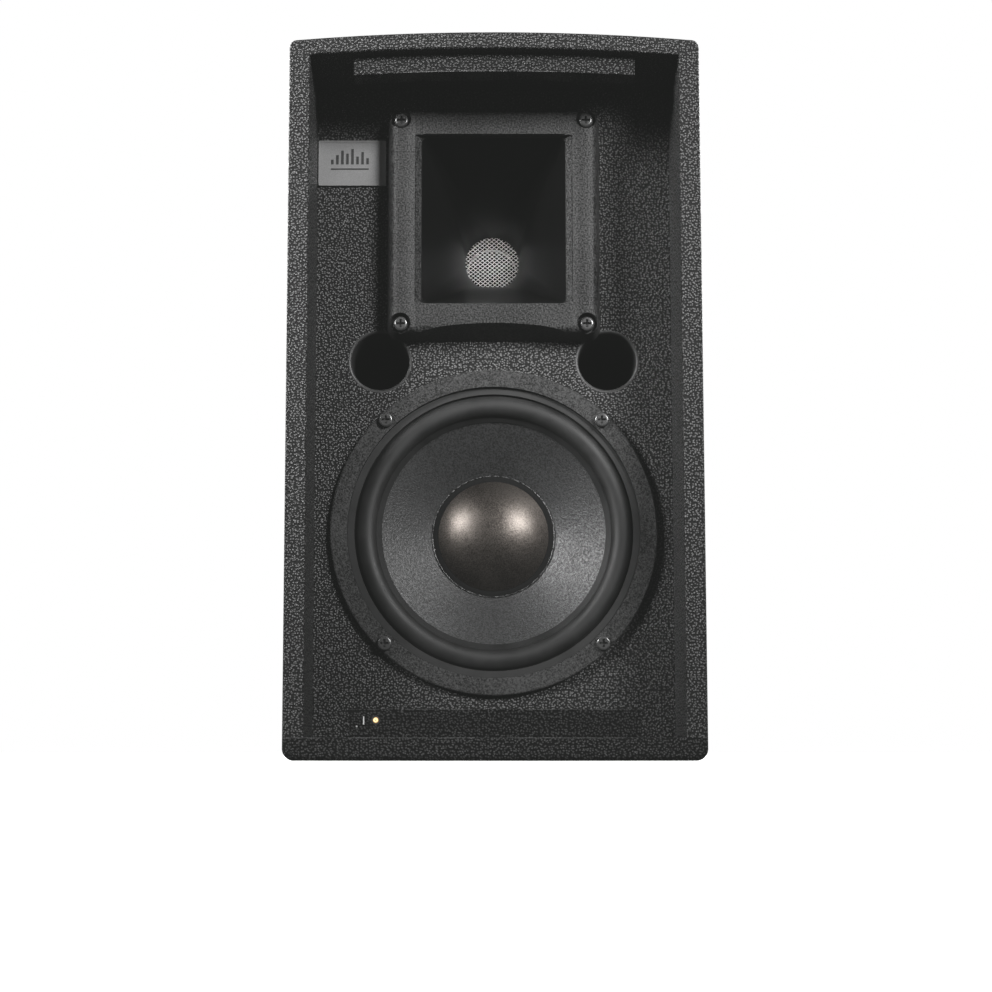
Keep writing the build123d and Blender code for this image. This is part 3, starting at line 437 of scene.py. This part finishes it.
def cap_metal():
    """Satin metallised dome, dark bronze grey with fine sparkle, on a near-black flange whose black
    is partly glue and partly painted shade of the gap round the dome.
    """
    dome_radius = 35 * MM
    metal = 0.92
    paint = Paint("dust_cap_metal", (0.1, 0.09, 0.082), 0.4, metal, 0.08)
    dome = paint.math("LESS_THAN", paint.radius(0.0, centre_of("dust_cap").z), dome_radius)
    fine = paint.noise(1300, 1.5)
    paint.bump(fine, 0.07)
    skin = paint.ramp(paint.mixed(paint.noise(40, 3), fine, 0.6),
                      [(0.38, (0.046, 0.04, 0.036)), (0.62, (0.115, 0.103, 0.093))])
    # The flange is near black: partly glue, partly painted shade of the gap round the dome.
    paint.colour(paint.choose(dome, (*grey(0.006), 1), skin))
    paint.link(paint.math("MULTIPLY", dome, metal), paint.shader.inputs["Metallic"])
    flange = paint.remap(fine, 0.3, 0.7, 0.75, 0.82)
    paint.rough(paint.math("SUBTRACT", flange, paint.math("MULTIPLY", dome, 0.4)))
    return paint.material


def soft_rubber():
    """Satin rubber with a faint bloom."""
    paint = Paint("surround_rubber", grey(0.012), 0.55, 0.0, 0.4)
    paint.bump(paint.noise(1800, 3, 0.6), 0.03)
    bloom = paint.noise(60, 4, 0.6)
    paint.colour(paint.ramp(bloom, [(0.35, grey(0.007)), (0.7, grey(0.014))]))
    paint.rough(paint.remap(bloom, 0.3, 0.7, 0.5, 0.62))
    return paint.material


def woven_cloth(name, colour, thread):
    """Resin-treated cloth with a plain weave; thread is its pitch in millimetres."""
    paint = Paint(name, colour, 0.8)
    weave = paint.math("MULTIPLY", paint.bands("X", thread), paint.bands("Z", thread))
    paint.bump(weave, 0.1)
    paint.colour(paint.ramp(weave, [(0.0, scaled(colour, 0.6)), (0.8, colour)]))
    return paint.material


def wound_wire(name, colour, pitch):
    """Fine wire wound in close turns along Y; pitch is in millimetres."""
    paint = Paint(name, colour, 0.3, 0.9)
    turns = paint.bands("Y", pitch)
    paint.bump(turns, 0.1)
    paint.colour(paint.ramp(turns, [(0.1, scaled(colour, 0.45)), (0.6, colour)]))
    return paint.material


def bare_timber():
    """Softwood with growth rings drawn out along its height."""
    paint = Paint("bare_timber", (0.5, 0.36, 0.2), 0.6)
    stretched = paint.new("ShaderNodeMapping")
    paint.link(paint.place, stretched.inputs["Vector"])
    stretched.inputs["Scale"].default_value = (1, 1, 0.06)
    rings = paint.noise(220, 3, 0.6, 1.5, stretched.outputs["Vector"])
    paint.colour(paint.ramp(rings, [(0.35, (0.36, 0.24, 0.12)), (0.65, (0.58, 0.43, 0.26))]))
    paint.bump(rings, 0.1)
    return paint.material


def open_foam():
    """Open-cell foam."""
    paint = Paint("open_foam", grey(0.03), 0.95, 0.0, 0.2)
    pores = paint.cells(900)
    paint.bump(pores, 0.6)
    paint.colour(paint.ramp(pores, [(0.05, grey(0.008)), (0.6, grey(0.05))]))
    return paint.material


def board_mask():
    """Circuit board with masked tracks."""
    paint = Paint("board_mask", (0.01, 0.09, 0.04), 0.3)
    tracks = paint.cells(170, "DISTANCE_TO_EDGE")
    paint.colour(paint.ramp(tracks, [(0.04, (0.03, 0.2, 0.09)), (0.1, (0.008, 0.08, 0.035))]))
    paint.bump(tracks, 0.05)
    return paint.material


def amber_lens():
    """Small lit lens: pale gold ring about a darker core, amber at the rim."""
    lens_radius = 1.75 * MM
    paint = Paint("amber_lens", (0.7, 0.42, 0.1), 0.25)
    middle = centre_of("status_led")
    share = paint.math("DIVIDE", paint.radius(middle.x, middle.z), lens_radius)
    flecks = paint.remap(paint.noise(900), 0.3, 0.7, -0.05, 0.05)
    tint = paint.ramp(paint.math("ADD", share, flecks),
                      [(0.12, (0.35, 0.16, 0.02)), (0.32, (1.0, 0.85, 0.5)),
                       (0.62, (1.0, 0.8, 0.42)), (0.95, (0.3, 0.13, 0.015))])
    paint.colour(tint)
    paint.link(tint, paint.shader.inputs["Emission Color"])
    paint.shader.inputs["Emission Strength"].default_value = 0.55
    return paint.material


def cured_glue():
    """Black glue with lumps painted glossy grey, as glints."""
    paint = Paint("cured_glue", grey(0.12), 0.2)
    lumps = paint.noise(700, 3, 0.6)
    paint.bump(lumps, 0.3)
    # The lumps are painted grey as a highlight: the glints of the bead round the dust cap.
    paint.colour(paint.ramp(lumps, [(0.45, grey(0.005)), (0.65, grey(0.12))]))
    return paint.material


materials = {
    "coated_plywood": pebble_coating("coated_plywood", 0.036),
    "bare_wood": bare_timber(),
    "damping_foam": open_foam(),
    "painted_steel": grained("painted_steel", 0.03, 0.6, 0.9, 0.3, blotch=0.85, shine=0.15),
    "black_steel": grained("black_steel", 0.1, 0.25, 0.6, 0.03, metallic=0.6),
    "zinc_steel": turned_metal("zinc_steel", (0.3, 0.3, 0.31)),
    "ferrite": grained("ferrite", 0.05, 0.6, 0.9),
    "surround_rubber": soft_rubber(),
    "cone_paper": cone_paper(),
    "dust_cap_metal": cap_metal(),
    "spider_cloth": woven_cloth("spider_cloth", (0.55, 0.4, 0.16), 0.6),
    "coil_former_foil": turned_metal("coil_former_foil", (0.7, 0.7, 0.72)),
    "copper_wire": wound_wire("copper_wire", (0.62, 0.28, 0.12), 0.4),
    "horn_plastic": horn_moulding(),
    "black_plastic": grained("black_plastic", 0.022, 0.5, 0.5, 0.06),
    "woven_steel_mesh": grained("woven_steel_mesh", 0.85, 0.32, 0.6, 0.02, metallic=0.3,
                                blotch=0.1),
    "heatsink_aluminium": grained("heatsink_aluminium", 0.03, 0.35, 0.4, 0.03, metallic=0.6),
    "latch_metal": turned_metal("latch_metal", (0.6, 0.6, 0.6)),
    "circuit_board": board_mask(),
    "capacitor_sleeve": grained("capacitor_sleeve", 0.03, 0.2, 2, 0.02, tint=(0.7, 0.8, 1.3)),
    "winding_tape": grained("winding_tape", 0.4, 0.35, 3, 0.2, tint=(1.0, 0.8, 0.25)),
    "lead_sheath": grained("lead_sheath", 0.03, 0.45, 0.8, 0.03),
    "led_lens": amber_lens(),
    "badge_face": grained("badge_face", 0.28, 0.35, 0.6, 0.02, metallic=0.3, blotch=0.1),
}
marking_ink = grained("marking_ink", 0.6, 0.5, 0.6, 0.02, blotch=0.2)
badge_print = grained("badge_print", 0.03, 0.4, 0.6, 0.03, blotch=0.3)
# Near black for the phase plug and the driver's front plate: painted shade of the deep throat
# behind the wire screen.
throat_shade_black = grained("throat_shade_black", 0.002, 0.8, 0.6, 0.05, shine=0.06)


def coat(node, material):
    for surface in nodes[node].material_slots:
        surface.material = material


for entry in frame["record"]["subparts"]:
    coat(entry["node"], materials[entry["material_slot"]])
# Darker copies of the coating on the grille rails and the bottom panel are painted shade: the rails
# lie in the shade of the recess, the bottom panel is darker towards the bottom. The last column is
# the height of each edge's painted highlight.
for node, base, shine, glint_edge_z in (("bottom_grille_rail", 0.012, 0.15, 29.8 * MM),
                                  ("top_grille_rail", 0.022, 0.2, 415.6 * MM),
                                  ("bottom_panel", 0.02, 0.18, 13.3 * MM)):
    coat(node, pebble_coating(node + "_shaded_coating", base, shine, glint_edge_z))
# The phase plug and driver plate take the painted throat shade.
for node in ("phase_plug", "driver_front_plate"):
    coat(node, throat_shade_black)


# ------------------------------------------------------------------ mesh helpers

def piece_from(name, shape, material, body, smooth=True):
    """A mesh piece from (points, faces) with the given finish, riding on a body when one is given.
    """
    points, faces = shape
    mesh = bpy.data.meshes.new(name)
    mesh.from_pydata([tuple(point) for point in points], [], faces)
    mesh.validate()
    mesh.shade_smooth() if smooth else mesh.shade_flat()
    mesh.materials.append(material)
    piece = into_scene(bpy.data.objects.new(name, mesh))
    if body:
        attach(piece, body)
    return piece


def joined(parts):
    """Several (points, faces) sets as one."""
    points, faces = [], []
    for some_points, some_faces in parts:
        start = len(points)
        points += list(some_points)
        faces += [tuple(start + corner for corner in face) for face in some_faces]
    return points, faces


def ring_faces(rings, count):
    """Faces between rings of count points each, with the last ring joined to the first."""
    faces = []
    for ring in range(rings):
        here, there = ring * count, (ring + 1) % rings * count
        for step in range(count):
            after = (step + 1) % count
            faces.append((here + step, here + after, there + after, there + step))
    return faces


def lathe(profile, axis_z, turns):
    """Points and faces of a closed (radius, y) profile turned about a Y-direction line."""
    points = []
    for turn in range(turns):
        angle = 2 * math.pi * turn / turns
        for radius, y in profile:
            points.append((radius * math.sin(angle), y, axis_z + radius * math.cos(angle)))
    return points, ring_faces(turns, len(profile))


def turned_cap(profile, axis_z, turns):
    """Points and faces of a (radius, y) profile that starts and ends on its axis."""
    points, faces = lathe(profile[1:-1], axis_z, turns)
    count = len(profile) - 2
    # a lathe closes its profile from end to start, which a cap doesn't
    faces = [face for face in faces if abs(face[1] - face[0]) == 1]
    first, last = len(points), len(points) + 1
    points += [(0, profile[0][1], axis_z), (0, profile[-1][1], axis_z)]
    for turn in range(turns):
        here, there = turn * count, (turn + 1) % turns * count
        faces.append((first, here, there))
        faces.append((last, there + count - 1, here + count - 1))
    return points, faces


def tube(route, radius, sides):
    """Points and faces of a capped round tube along a route of Vectors."""
    points, faces = [], []
    for index, spot in enumerate(route):
        ahead = route[min(index + 1, len(route) - 1)] - route[max(index - 1, 0)]
        side = ahead.cross(Vector((0, 1, 0))).normalized()
        up = ahead.cross(side).normalized()
        for turn in range(sides):
            angle = 2 * math.pi * turn / sides
            points.append(spot + radius * (math.cos(angle) * side + math.sin(angle) * up))
    for index in range(len(route) - 1):
        for turn in range(sides):
            after = (turn + 1) % sides
            low, high = index * sides, (index + 1) * sides
            faces.append((low + turn, low + after, high + after, high + turn))
    faces.append(tuple(reversed(range(sides))))
    faces.append(tuple(range((len(route) - 1) * sides, len(route) * sides)))
    return points, faces


def block(low, high):
    """Points and faces of a box."""
    (x, y, z), (far_x, far_y, far_z) = low, high
    points = [(x, y, z), (x, y, far_z), (x, far_y, z), (x, far_y, far_z),
              (far_x, y, z), (far_x, y, far_z), (far_x, far_y, z), (far_x, far_y, far_z)]
    faces = [(0, 1, 3, 2), (4, 6, 7, 5), (0, 4, 5, 1), (2, 3, 7, 6), (0, 2, 6, 4), (1, 5, 7, 3)]
    return points, faces


def round_node(node):
    """Lowest corner, height of the axis and outer radius of a node that is round about Y."""
    low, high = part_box(node)
    return low, (low.z + high.z) / 2, (high.x - low.x) / 2


# ------------------------------------------------------------------ throat screen, woven wire

def make_throat_mesh():
    """Two crossing families of wires, each over one and under the next."""
    low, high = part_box("throat_screen")
    middle = (low + high) / 2
    rim_gap = 0.3 * MM
    reach = (high.x - low.x) / 2 - rim_gap
    pitch = 2.05 * MM
    wire, sides = 0.25 * MM, 8
    lift = (high.y - low.y) / 2 - wire
    step = pitch / 6
    count = int(reach / pitch)
    turns = (math.radians(40), math.radians(-38))
    crossings = [Vector((-math.sin(turn), 0, math.cos(turn))) for turn in turns]
    parts = []
    for family, turn in enumerate(turns):
        along = Vector((math.cos(turn), 0, math.sin(turn)))
        across, other = crossings[family], crossings[1 - family]
        for line in range(-count, count + 1):
            offset = line * pitch
            half = math.sqrt(max(0.0, reach**2 - offset**2))
            steps = max(2, int(2 * half / step))
            route = []
            for index in range(steps + 1):
                spot = along * (-half + 2 * half * index / steps) + across * offset
                phase = math.pi * (spot.dot(other) / pitch + line + family)
                route.append(middle + spot + Vector((0, lift * math.cos(phase), 0)))
            parts.append(tube(route, wire, sides))
    mesh = piece_from("throat_mesh", joined(parts), materials["woven_steel_mesh"],
                      "cabinet")
    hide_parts("throat_screen")


# ------------------------------------------------------------------ surround, spider and dust cap

cap_rise = 12 * MM


def bend_by_radius(piece, centre_z, rigid_radius, clamped_radius):
    """Bake a ring's placement into its mesh and work out, for each vertex, a share from 1 at the
    rigid radius to 0 at the clamped radius; the share is not kept."""
    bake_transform(piece)
    for vertex in piece.data.vertices:
        radius = math.hypot(vertex.co.x, vertex.co.z - centre_z)
        share = (clamped_radius - radius) / (clamped_radius - rigid_radius)
        share = min(1.0, max(0.0, share))


def make_surround():
    """Half-roll surround between the cone's lip and the basket, as one thin sheet of rubber."""
    low, centre_z, outer = round_node("woofer_surround")
    lip, roll_in, roll_out = 69.9 * MM, 73.2 * MM, 86 * MM
    middle, half = (roll_in + roll_out) / 2, (roll_out - roll_in) / 2
    foot_in, foot_out = -60.4 * MM, -62.1 * MM
    sheet = 0.6 * MM
    steps = 28
    skin = [(lip, foot_in)]
    for step in range(steps + 1):
        turn = math.pi * step / steps
        foot = foot_in + (foot_out - foot_in) * step / steps
        skin.append((middle - half * math.cos(turn), foot - (foot - low.y) * math.sin(turn)))
    skin += [(outer, foot_out)]
    back = [(radius, y + sheet) for radius, y in reversed(skin)]
    piece = piece_from("surround_roll", lathe(skin + back, centre_z, 192),
                       materials["surround_rubber"], None)
    bend_by_radius(piece, centre_z, roll_in, roll_out)
    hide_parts("woofer_surround")


def make_spider():
    """Corrugated cloth disc from the coil former to the basket."""
    low, centre_z, outer = round_node("woofer_spider")
    middle_y = centre_of("woofer_spider").y
    inner = 25.2 * MM
    cloth = 0.4 * MM
    swing = middle_y - low.y - 0.3 * MM
    rolls, steps = 6, 72
    skin = []
    for step in range(steps + 1):
        share = step / steps
        fade = min(1.0, 6 * share, 6 * (1 - share))
        wave = math.sin(2 * math.pi * rolls * share) * fade
        skin.append((inner + (outer - inner) * share, middle_y - cloth / 2 + swing * wave))
    back = [(radius, y + cloth) for radius, y in reversed(skin)]
    piece = piece_from("spider_disc", lathe(skin + back, centre_z, 144),
                       materials["spider_cloth"], None)
    bend_by_radius(piece, centre_z, inner + 2 * MM, outer - 6 * MM)
    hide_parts("woofer_spider")


def make_dust_cap():
    """Shallow spherical dust cap with its flange, evenly meshed so that the sheen runs smoothly."""
    low, centre_z, rim = round_node("dust_cap")
    edge, sheet = 35.2 * MM, 0.8 * MM
    ball = (edge**2 + cap_rise**2) / (2 * cap_rise)
    base = low.y + cap_rise

    def outside(radius):
        return radius, low.y + ball - math.sqrt(ball**2 - radius**2)

    steps = 40
    skin = [outside(edge * step / steps) for step in range(steps)]
    skin += [outside(edge - 0.15 * MM), outside(edge)]
    skin += [(edge + 0.2 * MM, base), (rim - 0.2 * MM, base), (rim, base + 0.1 * MM),
             (rim, base + 0.6 * MM)]
    inner = ball - sheet
    reach = edge - 1.4 * MM
    back_steps = 20
    back = []
    for step in range(back_steps, -1, -1):
        radius = reach * step / back_steps
        back.append((radius, low.y + sheet + inner - math.sqrt(inner**2 - radius**2)))
    piece = piece_from("cap_dome", turned_cap(skin + back, centre_z, 160),
                       materials["dust_cap_metal"], "woofer_cone_unit")
    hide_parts("dust_cap")


def make_cap_bead():
    """Uneven bead of glue where the dust cap meets the cone."""
    low, centre_z, rim = round_node("dust_cap")
    ring, base = rim - 0.1 * MM, low.y + cap_rise
    thickness, flatness = 0.38 * MM, 0.8
    turns, sides = 240, 8
    rng = random.Random(7)
    swells = [rng.uniform(0.5, 1.6) for _ in range(turns)]
    points = []
    for turn in range(turns):
        angle = 2 * math.pi * turn / turns
        swell = sum(swells[(turn + near) % turns] for near in (-1, 0, 1)) / 3
        thick = thickness * swell
        for side in range(sides):
            around = 2 * math.pi * side / sides
            radius = ring + thick * math.cos(around)
            y = base - thick * math.sin(around) * flatness
            points.append((radius * math.sin(angle), y, centre_z + radius * math.cos(angle)))
    piece_from("cap_bead", (points, ring_faces(turns, sides)), cured_glue(),
               "woofer_cone_unit")


# ------------------------------------------------------------------ printed marks

def make_badge_mark():
    """A plain row of level bars over a line, printed on the badge in place of any name."""
    low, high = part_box("badge_plate")
    front, back = low.y + 0.15 * MM, low.y + 0.6 * MM
    first, pitch, wide = 8 * MM, 3.2 * MM, 1.6 * MM
    foot = low.z + 14 * MM
    parts = []
    for index, tall in enumerate((3, 6, 9, 7, 10, 5, 8, 4)):
        left = low.x + first + pitch * index
        parts.append(block((left, front, foot), (left + wide, back, foot + tall * MM)))
    line = low.z + 10.5 * MM
    parts.append(block((low.x + first, front, line), (low.x + 32 * MM, back, line + 0.8 * MM)))
    piece_from("badge_mark", joined(parts), badge_print, "cabinet", False)


def make_rail_marks():
    """Printed tick and dot beside the status light."""
    light = centre_of("status_led")
    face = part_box("status_led")[0].y + 0.4 * MM
    tick, dot = (-7.4, -6.7, 0.0, -2.6, 2.2), (-11.5, -10.7, 0.2, -4.0, -3.2)
    parts = []
    for left, right, sunk, foot, top in (tick, dot):
        low = (light.x + left * MM, face + sunk * MM, light.z + foot * MM)
        high = (light.x + right * MM, face + 2 * MM, light.z + top * MM)
        parts.append(block(low, high))
    piece_from("rail_marks", joined(parts), marking_ink, "cabinet", False)


def make_dial_ticks():
    """Scale of plain ticks around the level knob, longer at both ends and in the middle."""
    knob = centre_of("level_knob")
    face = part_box("amp_panel")[1].y
    back, front = face - 0.1 * MM, face + 0.15 * MM
    half_width = 0.35 * MM
    inner, short, long = 12.2 * MM, 14 * MM, 15 * MM
    faces = [(0, 1, 2, 3), (7, 6, 5, 4), (0, 4, 5, 1), (1, 5, 6, 2), (2, 6, 7, 3), (3, 7, 4, 0)]
    parts = []
    for index in range(11):
        angle = math.radians(-150 + 30 * index)
        out = Vector((math.sin(angle), 0, math.cos(angle)))
        side = Vector((math.cos(angle), 0, -math.sin(angle))) * half_width
        outer = short if index % 5 else long
        points = []
        for y in (back, front):
            base = Vector((knob.x, y, knob.z))
            points += [base + out * inner - side, base + out * inner + side,
                       base + out * outer + side, base + out * outer - side]
        parts.append((points, faces))
    piece_from("dial_ticks", joined(parts), marking_ink, "cabinet", False)


# ------------------------------------------------------------------ egg-crate foam

def foam_sheet(side):
    """Points and faces of one sheet, flat on the wall at side -1 or 1, with bumps inwards."""
    low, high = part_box("side_foam_liners")
    deep, mean, swell = 15 * MM, 0.72, 0.26
    crate = 2 * math.pi / (26 * MM)
    cell = 3.6 * MM
    rows = int((high.z - low.z) / cell)
    columns = int((high.y - low.y) / cell)
    width = columns + 1
    layer_size = width * (rows + 1)

    points, faces = [], []
    for raised in (False, True):
        for row in range(rows + 1):
            z = low.z + (high.z - low.z) * row / rows
            for column in range(width):
                y = low.y + (high.y - low.y) * column / columns
                bumps = math.cos(crate * y) * math.cos(crate * z)
                thick = deep * (mean + swell * bumps) if raised else 0
                points.append((side * (high.x - thick), y, z))
    for row in range(rows):
        for column in range(columns):
            corner = row * width + column
            flat = (corner, corner + 1, corner + 1 + width, corner + width)
            faces.append(flat[::-1])
            faces.append(tuple(layer_size + spot for spot in flat))
    rim = list(range(width))
    rim += [row * width + columns for row in range(1, rows + 1)]
    rim += [rows * width + column for column in range(columns - 1, -1, -1)]
    rim += [row * width for row in range(rows - 1, 0, -1)]
    for spot, after in zip(rim, rim[1:] + rim[:1]):
        faces.append((spot, after, after + layer_size, spot + layer_size))
    if side > 0:
        faces = [face[::-1] for face in faces]
    return points, faces


def make_foam():
    """Egg-crate foam along both side walls, flat against the wood."""
    piece = piece_from("foam_sheets", joined([foam_sheet(-1), foam_sheet(1)]),
                       materials["damping_foam"], "cabinet")
    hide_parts("side_foam_liners")


make_camera()
make_backdrop()
make_lights()
make_floor()
make_throat_mesh()
make_surround()
make_spider()
make_dust_cap()
make_cap_bead()
make_badge_mark()
make_rail_marks()
make_dial_ticks()
make_foam()
